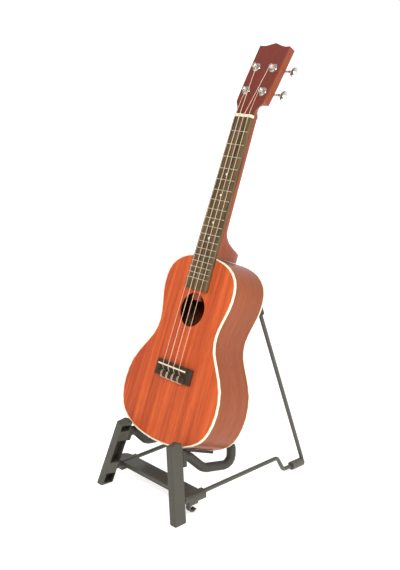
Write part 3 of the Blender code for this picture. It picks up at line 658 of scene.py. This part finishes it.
class UKE_OT_body(bpy.types.Operator):
    """Builds the hollow body: soundboard, back, bent sides, bindings and the wood inside"""

    bl_idname = "ukulele.body"
    bl_label = "Body"

    def execute(self, context):
        sizes = context.scene.ukulele_sizes
        refined("soundboard", LOOKS["top"], 0.25 * MM)
        refined("back", LOOKS["back"])
        sides = refined("sides", LOOKS["side"])
        map_side(sides.data)
        for node in ("top_binding", "back_binding"):
            refined(node, LOOKS["cream"], sizes.binding_round, 50.0, 3)
        # The neck block is given the neck's darker mahogany instead of bare spruce, as painted shade where it
        # sits in shadow; the rest inside is left bare.
        for node, look in (("top_lining", "spruce"), ("back_lining", "spruce"),
                           ("neck_block", "neck"), ("tail_block", "spruce")):
            frame["nodes"][node].data.materials.clear()
            frame["nodes"][node].data.materials.append(LOOKS[look])
        self.braces()
        return {"FINISHED"}

    def braces(self):
        """Two bars under the top, above and below the soundhole, with scalloped ends."""
        low, high = span("neck_block", INSTRUMENT)
        half, top, deep, thick = 52 * MM, 2.4 * MM, 8.5 * MM, 3.2 * MM
        scallop, tip = 14 * MM, 2 * MM
        for number, height in enumerate((high.z - 48 * MM, low.z - 91 * MM)):
            bar = bmesh.new()
            outline = [(-half, top), (half, top), (half, top + tip), (half - scallop, top + deep),
                       (scallop - half, top + deep), (-half, top + tip)]
            rings = [[bar.verts.new((x, y, height + z)) for x, y in outline] for z in (-thick, thick)]
            for i in range(len(outline)):
                bar.faces.new((rings[0][i], rings[0][i - 1], rings[1][i - 1], rings[1][i]))
            bar.faces.new(rings[0])
            bar.faces.new(list(reversed(rings[1])))
            bmesh.ops.recalc_face_normals(bar, faces=bar.faces)
            eased(bar, 0.8 * MM)
            piece(f"top_brace_{number + 1}", smooth_mesh("brace", moved(bar, INSTRUMENT)), "ukulele",
                  LOOKS["spruce"])


class UKE_OT_neck(bpy.types.Operator):
    """Builds the carved neck and the headstock's veneer"""

    bl_idname = "ukulele.neck"
    bl_label = "Neck and headstock"

    def execute(self, context):
        refined("neck", LOOKS["neck"], 0.35 * MM, 48.0)
        refined("headstock_veneer", LOOKS["veneer"], 0.25 * MM, 50.0)
        return {"FINISHED"}


class UKE_OT_fretboard(bpy.types.Operator):
    """Builds the fretboard with its frets, position dots and nut"""

    bl_idname = "ukulele.fretboard"
    bl_label = "Fretboard"

    def execute(self, context):
        sizes = context.scene.ukulele_sizes
        refined("fretboard", LOOKS["rosewood"], 0.4 * MM)
        low, high = span("fretboard", INSTRUMENT)
        nut_low, nut_high = span("nut", INSTRUMENT)
        row = grown(fret_rule(), Count=sizes.frets, Scale=sizes.scale_length, Nut=high.z, Face=low.y,
                    NutHalf=nut_high.x - 0.2 * MM, EndHalf=high.x - 0.2 * MM, End=low.z,
                    Crown=sizes.fret_crown, Material=LOOKS["nickel"])
        row.transform(INSTRUMENT)
        piece("frets", row, "ukulele", None)
        dots = []
        for space in (5, 7, 10, 12):
            ends = [high.z - sizes.scale_length * (1 - 2 ** (-n / 12)) for n in (space - 1, space)]
            disc = turned(((0.0, -0.3 * MM), (sizes.dot, -0.3 * MM), (sizes.dot, 0.02 * MM),
                           (sizes.dot * 0.9, 0.07 * MM), (0.0, 0.08 * MM)), 28)
            out = Matrix.Translation((0.0, low.y, sum(ends) / 2)) @ Matrix.Rotation(math.radians(90), 4, "X")
            dots.append(moved(disc, out))
        piece("position_dots", smooth_mesh("dots", moved(joined(*dots), INSTRUMENT)), "ukulele",
              LOOKS["pearl"])
        refined("nut", LOOKS["bone"], 0.35 * MM)
        return {"FINISHED"}


class UKE_OT_bridge(bpy.types.Operator):
    """Builds the bridge and its saddle"""

    bl_idname = "ukulele.bridge"
    bl_label = "Bridge"

    def execute(self, context):
        refined("bridge", LOOKS["bridge"], 0.4 * MM)
        refined("saddle", LOOKS["bone"], 0.3 * MM)
        return {"FINISHED"}


class UKE_OT_strings(bpy.types.Operator):
    """Builds the four strings, their ties at the bridge and their windings on the posts"""

    bl_idname = "ukulele.strings"
    bl_label = "Strings"

    def execute(self, context):
        sizes = context.scene.ukulele_sizes
        wind = coil_rule()
        bridge, saddle = span("bridge", INSTRUMENT), span("saddle", INSTRUMENT)
        nut = span("nut", INSTRUMENT)
        to_body = INSTRUMENT.inverted() @ HEAD
        for i in range(4):
            radius, share = sizes.string_radius[i], i / 3 - 0.5
            seat, rest = sizes.saddle_spread * share, sizes.nut_spread * share
            post, side = POSTS[i], -1 if i < 2 else 1
            near = post.x - side * (3.0 * MM + radius + 0.25 * MM)
            meet = to_body @ Vector((near, -5.2 * MM, post.z))
            crest = saddle[0].y - radius
            tail = bridge[0].z
            hole = Vector((seat, -4.6 * MM, -8.8 * MM))
            tie = curved([
                (seat + 5.4 * MM, -3.4 * MM, tail - 1.1 * MM), (seat + 2.6 * MM, -4.6 * MM, tail - 0.9 * MM),
                (seat + 1.2 * MM, -6.6 * MM, tail - 0.5 * MM), (seat + 1.0 * MM, -8.5 * MM, tail + 2.6 * MM),
                (seat + 1.1 * MM, -8.6 * MM, -11.0 * MM), (seat + 0.3 * MM, -7.9 * MM, -8.9 * MM),
                (seat - 1.0 * MM, -8.5 * MM, -10.8 * MM), (seat - 1.2 * MM, -8.6 * MM, tail + 2.6 * MM),
                (seat - 0.9 * MM, -6.8 * MM, tail - 0.5 * MM), (seat, -4.2 * MM, tail - 0.9 * MM),
                (seat, -3.0 * MM, tail + 0.4 * MM)], 5)
            knot = strand([INSTRUMENT @ p for p in tie], radius, 8)
            run = [hole, Vector((seat, -7.6 * MM, -5.6 * MM)), Vector((seat, crest + 0.25 * MM, -0.9 * MM)),
                   Vector((seat, crest, 0.0)), Vector((rest, nut[0].y - radius, nut[0].z + 1.2 * MM)),
                   Vector((rest, nut[0].y - radius + 0.2 * MM, nut[0].z + 2.4 * MM)), meet]
            line = strand([INSTRUMENT @ p for p in run], radius, 10)
            piece(f"string_{i + 1}_run", smooth_mesh("string", joined(line, knot), 60.0), "ukulele",
                  LOOKS["string"], (f"string_{i + 1}",))
            coil = grown(wind, Turns=sizes.windings, Radius=2.6 * MM + radius,
                         Height=sizes.windings * radius * 2.0, Strand=radius, Material=LOOKS["string"])
            coil.transform(HEAD @ Matrix.Translation((post.x, -4.2 * MM, post.z))
                           @ Matrix.Rotation(math.radians(90), 4, "X"))
            tip = [Vector((post.x + side * 2.2 * MM, -5.2 * MM, post.z)),
                   Vector((post.x + side * 3.6 * MM, -5.3 * MM, post.z + 0.3 * MM)),
                   Vector((post.x + side * 4.6 * MM, -5.6 * MM, post.z + 1.0 * MM))]
            end = strand([HEAD @ p for p in curved(tip)], radius, 8)
            end.from_mesh(coil)
            piece(f"string_{i + 1}_winding", smooth_mesh("winding", end, 60.0), f"post_{i + 1}",
                  LOOKS["string"])
        return {"FINISHED"}


class UKE_OT_tuners(bpy.types.Operator):
    """Builds the four geared tuners: plates, worms, posts, bushings, buttons and screws"""

    bl_idname = "ukulele.tuners"
    bl_label = "Tuners"

    def execute(self, context):
        thread, screws = coil_rule(), screw_rule()
        chrome = LOOKS["chrome"]
        spots = []
        for i in range(1, 5):
            for kind in ("plate", "post"):
                refined(f"tuner_{kind}_{i}", chrome, 0.18 * MM)
            refined(f"tuner_bushing_{i}", chrome, 0.35 * MM, 38.0, 3)
            post, worm = POSTS[i - 1], WORMS[i - 1]
            side = 1 if post.x > 0 else -1
            self.washer(i, post)
            self.button(i, side, post, worm, thread)
            plate = span(f"tuner_plate_{i}", HEAD)
            z, top = plate[0].z + 2.0 * MM, plate[0].y + 1.2 * MM
            spots += [(x, -z, top) for x in (plate[0].x + 2.2 * MM, plate[1].x - 2.2 * MM)]
        row = grown(screws, spots, Radius=1.3 * MM, Material=chrome)
        row.transform(HEAD @ Matrix.Rotation(math.radians(-90), 4, "X"))
        piece("plate_screws", row, "ukulele", None)
        return {"FINISHED"}

    def washer(self, number, post):
        """A thin round flange under the hexagonal bushing."""
        inner, outer = 3.4 * MM, 6.8 * MM
        ring = turned(((inner, 0.05 * MM), (outer, 0.05 * MM), (outer, 0.45 * MM),
                       (outer - 0.3 * MM, 0.7 * MM), (inner, 0.7 * MM)), 40, ring=True)
        place = HEAD @ Matrix.Translation(post) @ Matrix.Rotation(math.radians(90), 4, "X")
        piece(f"tuner_washer_{number}", smooth_mesh("washer", moved(ring, place)), "ukulele",
              LOOKS["chrome"])

    def button(self, number, side, post, worm, thread):
        """An oval pressed button on its stepped shaft, with the worm's thread."""
        low, high = span(f"tuner_button_{number}", HEAD)
        near = low.x if side > 0 else high.x
        long = abs(worm.x - near)
        thick, deep, tall = 6.0 * MM, 4.2 * MM, 8.4 * MM
        core_radius, core_long = 1.75 * MM, 9.0 * MM
        profile = [(0.0, 0.0), (1.25 * MM, 0.0), (1.25 * MM, long - 14.0 * MM), (2.1 * MM, long - 13.6 * MM),
                   (2.1 * MM, long - 10.4 * MM), (2.6 * MM, long - 9.4 * MM), (2.5 * MM, long - 7.0 * MM),
                   (1.9 * MM, long - 5.2 * MM), (2.1 * MM, long - 2.0 * MM), (0.0, long - 2.0 * MM)]
        shaft = moved(turned(profile, 24), Matrix.Rotation(math.radians(90) * side, 4, "Y"),
                      Matrix.Translation((near, worm.y, worm.z)))
        disc = bmesh.new()
        bmesh.ops.create_uvsphere(disc, u_segments=40, v_segments=24, radius=1.0)
        for vertex in disc.verts:
            x, y, z = vertex.co
            swell = 1.0 - 0.16 * (1.0 - min(1.0, (y * y + z * z))) ** 2
            vertex.co = (x * thick * swell * 0.97, y * deep, z * tall)
        moved(disc, Matrix.Translation(worm))
        spiral = grown(thread, Turns=6.0, Radius=core_radius, Height=8.0 * MM, Strand=0.42 * MM,
                       Material=LOOKS["chrome"])
        spiral.transform(Matrix.Translation((post.x - 4.0 * MM, worm.y, worm.z))
                         @ Matrix.Rotation(math.radians(90), 4, "Y"))
        core = turned(((0.0, 0.0), (core_radius, 0.0), (core_radius, core_long), (0.0, core_long)), 24)
        moved(core, Matrix.Rotation(math.radians(90), 4, "Y"),
              Matrix.Translation((post.x - 4.5 * MM, worm.y, worm.z)))
        whole = joined(shaft, disc, core)
        whole.from_mesh(spiral)
        piece(f"tuner_button_{number}_finished", smooth_mesh("button", moved(whole, HEAD), 50.0),
              f"button_{number}", LOOKS["chrome"], (f"tuner_button_{number}",))


# --- the stand ---

class STAND_OT_legs(bpy.types.Operator):
    """Builds the two channel legs with their pins and screws"""

    bl_idname = "stand.legs"
    bl_label = "Legs"

    def execute(self, context):
        sizes = context.scene.stand_sizes
        screws = screw_rule()
        for side, sign in SIDES.items():
            refined(f"leg_{side}", LOOKS["plastic"], sizes.edge_round)
            refined(f"leg_pin_{side}", LOOKS["pin"], 0.4 * MM)
            self.screws(side, sign, screws, sizes.screw_head)
        return {"FINISHED"}

    def screws(self, side, sign, rule, radius):
        """Two screws in the channel's web, heads to the inside, above the hinge pin."""
        node, joint = frame["nodes"][f"leg_{side}"], JOINTS[f"leg_{side[0]}_fold"]
        soles = [v.co for v in node.data.vertices if v.co.z < 0.1 * MM]
        pivot, axis = Vector(joint["pos_m"]), Vector(joint["axis"])
        up = (pivot - sum(soles, Vector()) / len(soles)).normalized()
        inward = axis.cross(up).normalized()
        inward = -inward if inward.x * sign > 0 else inward
        across = up.cross(inward)
        place = Matrix([[across[i], up[i], inward[i], pivot[i]] for i in range(3)] + [[0, 0, 0, 1]])
        row = grown(rule, [(0.0, h * MM, -4.2 * MM) for h in (18.0, 40.0)], Radius=radius,
                    Material=LOOKS["pin"])
        row.transform(place)
        piece(f"leg_screws_{side}", row, f"leg_{side[0]}", None)


class STAND_OT_arms(bpy.types.Operator):
    """Builds the hooked arms and the rests on them"""

    bl_idname = "stand.arms"
    bl_label = "Arms"

    def execute(self, context):
        for side in SIDES:
            refined(f"arm_{side}", LOOKS["rubber"], 0.0, 34.0)
            refined(f"rest_{side}", LOOKS["rubber"], 0.5 * MM, 38.0, 3)
        return {"FINISHED"}


class STAND_OT_crossbar(bpy.types.Operator):
    """Builds the moulded crossbar with its end cheeks"""

    bl_idname = "stand.crossbar"
    bl_label = "Crossbar"

    def execute(self, context):
        refined("crossbar", LOOKS["plastic"], context.scene.stand_sizes.edge_round)
        return {"FINISHED"}


class STAND_OT_wires(bpy.types.Operator):
    """Builds the floor wires"""

    bl_idname = "stand.wires"
    bl_label = "Floor wires"

    def execute(self, context):
        for side in SIDES:
            refined(f"floor_wire_{side}", LOOKS["coating"], 0.5 * MM, 40.0)
        return {"FINISHED"}


class STAND_OT_uprights(bpy.types.Operator):
    """Builds the two back uprights, their padded tips and the sleeves they turn in"""

    bl_idname = "stand.uprights"
    bl_label = "Back uprights"

    def execute(self, context):
        for side in SIDES:
            refined(f"upright_{side}", LOOKS["coating"], 0.5 * MM, 40.0)
            refined(f"back_pad_{side}", LOOKS["rubber"], 0.5 * MM, 36.0)
            refined(f"foot_sleeve_{side}", LOOKS["sleeve"], 0.5 * MM, 50.0, 3)
        return {"FINISHED"}


# --- the stage ---

FLOOR_RADIUS, FLOOR_DROP = 30.0, 0.4 * MM
KEY_PLACE, KEY_WIDE = (0.9, -1.5, 1.9), 1.0
SIDE_PLACE, SIDE_WIDE, SIDE_SHARE = (2.0, -0.1, 0.9), 0.9, 0.3


class STUDIO_OT_stage(bpy.types.Operator):
    """Builds the plain pale floor, the soft lights and the camera"""

    bl_idname = "studio.stage"
    bl_label = "Stage"

    def execute(self, context):
        settings = context.scene.studio
        self.floor()
        self.room(settings)
        target = Vector(settings.target)
        self.soft_light("key_light", KEY_PLACE, KEY_WIDE, settings.key, target)
        self.soft_light("side_light", SIDE_PLACE, SIDE_WIDE, settings.key * SIDE_SHARE, target)
        self.camera(settings, target)
        context.scene.view_settings.view_transform = "Standard"
        return {"FINISHED"}

    def floor(self):
        mesh = bpy.data.meshes.new("floor")
        bm = bmesh.new()
        bmesh.ops.create_circle(bm, cap_ends=True, segments=96, radius=FLOOR_RADIUS)
        bm.to_mesh(mesh)
        bm.free()
        obj = bpy.data.objects.new("floor", mesh)
        obj.location.z = -FLOOR_DROP
        bpy.context.scene.collection.objects.link(obj)
        look, _, shader = new_look("matt_white_paper", Roughness=0.9)
        shader.inputs["Base Color"].default_value = linear("F4F4F2")
        shader.inputs["Emission Color"].default_value = linear("FFFFFF")
        shader.inputs["Emission Strength"].default_value = 0.55
        mesh.materials.append(look)

    def room(self, settings):
        """Walls that are bright behind the object and to its right, and dim in front to its left."""
        world = bpy.data.worlds.new("studio")
        world.use_nodes = True
        tree = world.node_tree
        coords = add(tree, "ShaderNodeTexCoord").outputs["Generated"]
        facing = add(tree, "ShaderNodeVectorMath", {0: coords, 1: (0.25, 0.97, 0.0)},
                     operation="DOT_PRODUCT")
        level = between(tree, facing.outputs["Value"], settings.sky, 1.05, -0.85, 0.25)
        background = tree.nodes["Background"]
        background.inputs["Color"].default_value = (1.0, 1.0, 1.0, 1.0)
        tree.links.new(level, background.inputs["Strength"])
        bpy.context.scene.world = world

    def soft_light(self, name, place, size, power, target):
        light = bpy.data.lights.new(name, "AREA")
        light.shape, light.size, light.energy = "DISK", size, power
        obj = bpy.data.objects.new(name, light)
        obj.location = place
        obj.rotation_euler = (target - obj.location).to_track_quat("-Z", "Y").to_euler()
        bpy.context.scene.collection.objects.link(obj)

    def camera(self, settings, target):
        back = Vector((math.sin(settings.azimuth) * math.cos(settings.elevation),
                       -math.cos(settings.azimuth) * math.cos(settings.elevation),
                       math.sin(settings.elevation)))
        data = bpy.data.cameras.new("camera")
        data.lens, data.sensor_width = settings.lens, 36.0
        obj = bpy.data.objects.new("camera", data)
        obj.location = target + back * settings.distance
        obj.rotation_euler = (-back).to_track_quat("-Z", "Y").to_euler()
        bpy.context.scene.collection.objects.link(obj)
        bpy.context.scene.camera = obj


# --- registration ---

STEPS = (UKE_OT_body, UKE_OT_neck, UKE_OT_fretboard, UKE_OT_bridge, UKE_OT_strings, UKE_OT_tuners,
         STAND_OT_legs, STAND_OT_arms, STAND_OT_crossbar, STAND_OT_wires, STAND_OT_uprights,
         STUDIO_OT_stage)
GROUPS = {"ukulele_sizes": UkuleleSizes, "stand_sizes": StandSizes, "finish_colours": FinishColours,
          "studio": StudioSettings}


class UKE_PT_panel(bpy.types.Panel):
    """Lists the settings and the steps that build the object"""

    bl_idname = "UKE_PT_panel"
    bl_label = "Ukulele On Stand"
    bl_space_type = "VIEW_3D"
    bl_region_type = "UI"
    bl_category = "Ukulele"

    def draw(self, context):
        for group in GROUPS:
            box = self.layout.box()
            settings = getattr(context.scene, group)
            for name in settings.bl_rna.properties.keys():
                if name not in ("rna_type", "name"):
                    box.prop(settings, name)
        for step in STEPS:
            self.layout.operator(step.bl_idname)


def register():
    for made in (*GROUPS.values(), *STEPS, UKE_PT_panel):
        bpy.utils.register_class(made)
    for name, group in GROUPS.items():
        setattr(bpy.types.Scene, name, PointerProperty(type=group))


def unregister():
    for name in GROUPS:
        delattr(bpy.types.Scene, name)
    for made in reversed((*GROUPS.values(), *STEPS, UKE_PT_panel)):
        bpy.utils.unregister_class(made)


def main():
    register()
    make_looks(bpy.context.scene.finish_colours)
    for step in STEPS:
        section, name = step.bl_idname.split(".")
        getattr(getattr(bpy.ops, section), name)()


if __name__ == "__main__":
    main()
